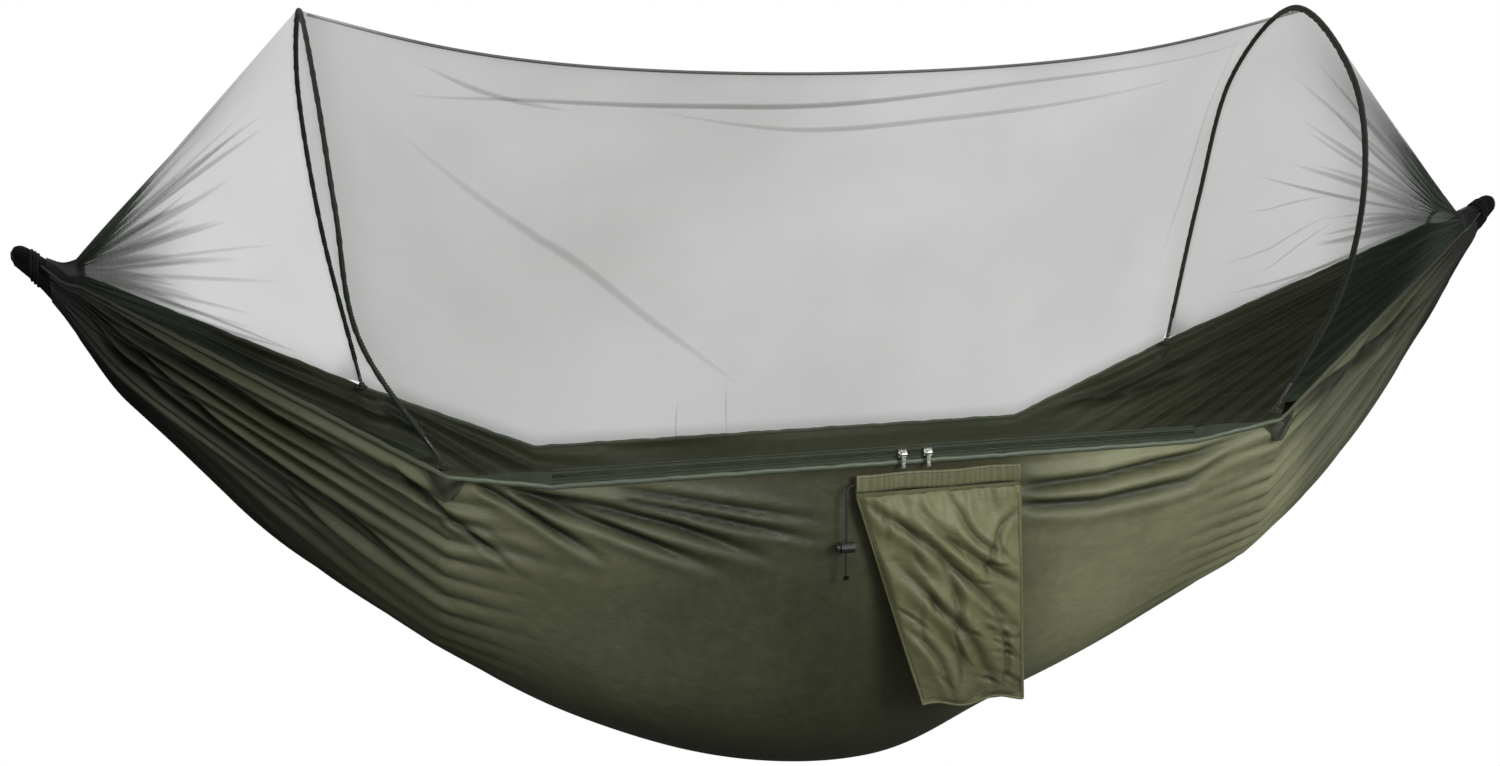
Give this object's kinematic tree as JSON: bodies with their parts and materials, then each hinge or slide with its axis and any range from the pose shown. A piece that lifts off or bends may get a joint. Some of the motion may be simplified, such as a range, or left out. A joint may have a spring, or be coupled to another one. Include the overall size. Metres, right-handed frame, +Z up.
{
  "type": "camping hammock with insect net",
  "caption": "Gathered-end camping hammock with a zipped insect net held up by folding hoops, and a hanging stuff pouch with a drawcord.",
  "frame": {"origin": "left hanging point: the gathered left end of the hammock", "axes": "+X runs from the left hanging point to the right one, +Z is up, and the front with the zip and pouch faces -Y"},
  "size_m": [2.07, 0.4825, 1.0376],
  "materials": {
    "body_cloth": "satin",
    "hem_cloth": "matte",
    "end_cloth": "matte",
    "black_cord": "matte",
    "net_mesh": "matte",
    "zip_tape": "matte",
    "zip_coil": "satin",
    "zip_metal": "satin",
    "pouch_cloth": "satin",
    "black_plastic": "satin",
    "spring_steel": "satin",
    "rod_fibre": "satin",
    "sleeve_cloth": "matte",
    "socket_cloth": "matte"
  },
  "bodies": {
    "hammock": {"hammock_body": "body_cloth", "front_hem": "hem_cloth", "back_hem": "hem_cloth", "left_end_hem": "end_cloth", "right_end_hem": "end_cloth", "left_gather_cord": "black_cord", "right_gather_cord": "black_cord", "net_front_wall": "net_mesh", "net_back_wall": "net_mesh", "net_left_end": "net_mesh", "net_right_end": "net_mesh", "zip_lower_tape": "zip_tape", "zip_upper_tape": "zip_tape", "zip_lower_coil": "zip_coil", "zip_upper_coil": "zip_coil", "pouch_header": "pouch_cloth", "pouch_drawcord": "black_cord", "drawcord_knot": "black_cord", "left_front_rod_socket": "socket_cloth", "left_back_rod_socket": "socket_cloth", "right_front_rod_socket": "socket_cloth", "right_back_rod_socket": "socket_cloth"},
    "left_hoop": {"left_hoop_rod": "rod_fibre", "left_hoop_sleeve": "sleeve_cloth", "left_hoop_front_tip": "black_plastic", "left_hoop_back_tip": "black_plastic"},
    "right_hoop": {"right_hoop_rod": "rod_fibre", "right_hoop_sleeve": "sleeve_cloth", "right_hoop_front_tip": "black_plastic", "right_hoop_back_tip": "black_plastic"},
    "slider_left": {"zip_slider_left": "zip_metal"},
    "slider_right": {"zip_slider_right": "zip_metal"},
    "pull_left": {"zip_pull_left": "zip_metal"},
    "pull_right": {"zip_pull_right": "zip_metal"},
    "pouch": {"pouch_back_panel": "pouch_cloth", "pouch_front_panel": "pouch_cloth"},
    "cord_lock": {"cord_lock_barrel": "black_plastic", "cord_lock_spring": "spring_steel"},
    "lock_button": {"cord_lock_button": "black_plastic"}
  },
  "joints": [
    {"name": "left_hoop_fold", "type": "hinge", "parent": "hammock", "child": "left_hoop", "pos_m": [0.47, -0.216, -0.246], "axis": [-0.1331, 0.9899, 0.0484], "range_deg": [0, 88], "deforming": ["net_front_wall", "net_back_wall", "net_left_end"]},
    {"name": "right_hoop_fold", "type": "hinge", "parent": "hammock", "child": "right_hoop", "pos_m": [1.58, -0.216, -0.246], "axis": [-0.1331, -0.9899, -0.0484], "range_deg": [0, 88], "deforming": ["net_right_end"]},
    {"name": "left_slider_run", "type": "slide", "parent": "hammock", "child": "slider_left", "axis": [-1, 0, 0], "range_m": [0, 0.436]},
    {"name": "right_slider_run", "type": "slide", "parent": "hammock", "child": "slider_right", "axis": [1, 0, 0], "range_m": [0, 0.366]},
    {"name": "left_pull_swing", "type": "hinge", "parent": "slider_left", "child": "pull_left", "pos_m": [1.043, -0.2339, -0.2675], "axis": [-1, 0, 0], "range_deg": [0, 140]},
    {"name": "right_pull_swing", "type": "hinge", "parent": "slider_right", "child": "pull_right", "pos_m": [1.077, -0.2339, -0.2675], "axis": [-1, 0, 0], "range_deg": [0, 140]},
    {"name": "pouch_swing", "type": "hinge", "parent": "hammock", "child": "pouch", "pos_m": [1.092, -0.2315, -0.315], "axis": [-1, 0, 0], "range_deg": [0, 65]},
    {"name": "cord_lock_slide", "type": "slide", "parent": "hammock", "child": "cord_lock", "axis": [0, 0, 1], "range_m": [-0.022, 0.045]},
    {"name": "lock_button_press", "type": "slide", "parent": "cord_lock", "child": "lock_button", "axis": [1, 0, 0], "range_m": [0, 0.003], "stiffness_N_per_m": 600, "springref_m": -0.002, "deforming": ["cord_lock_spring"]}
  ],
  "couplings": [
    {"joint": "right_hoop_fold", "follows": "left_hoop_fold", "ratio": 1}
  ]
}
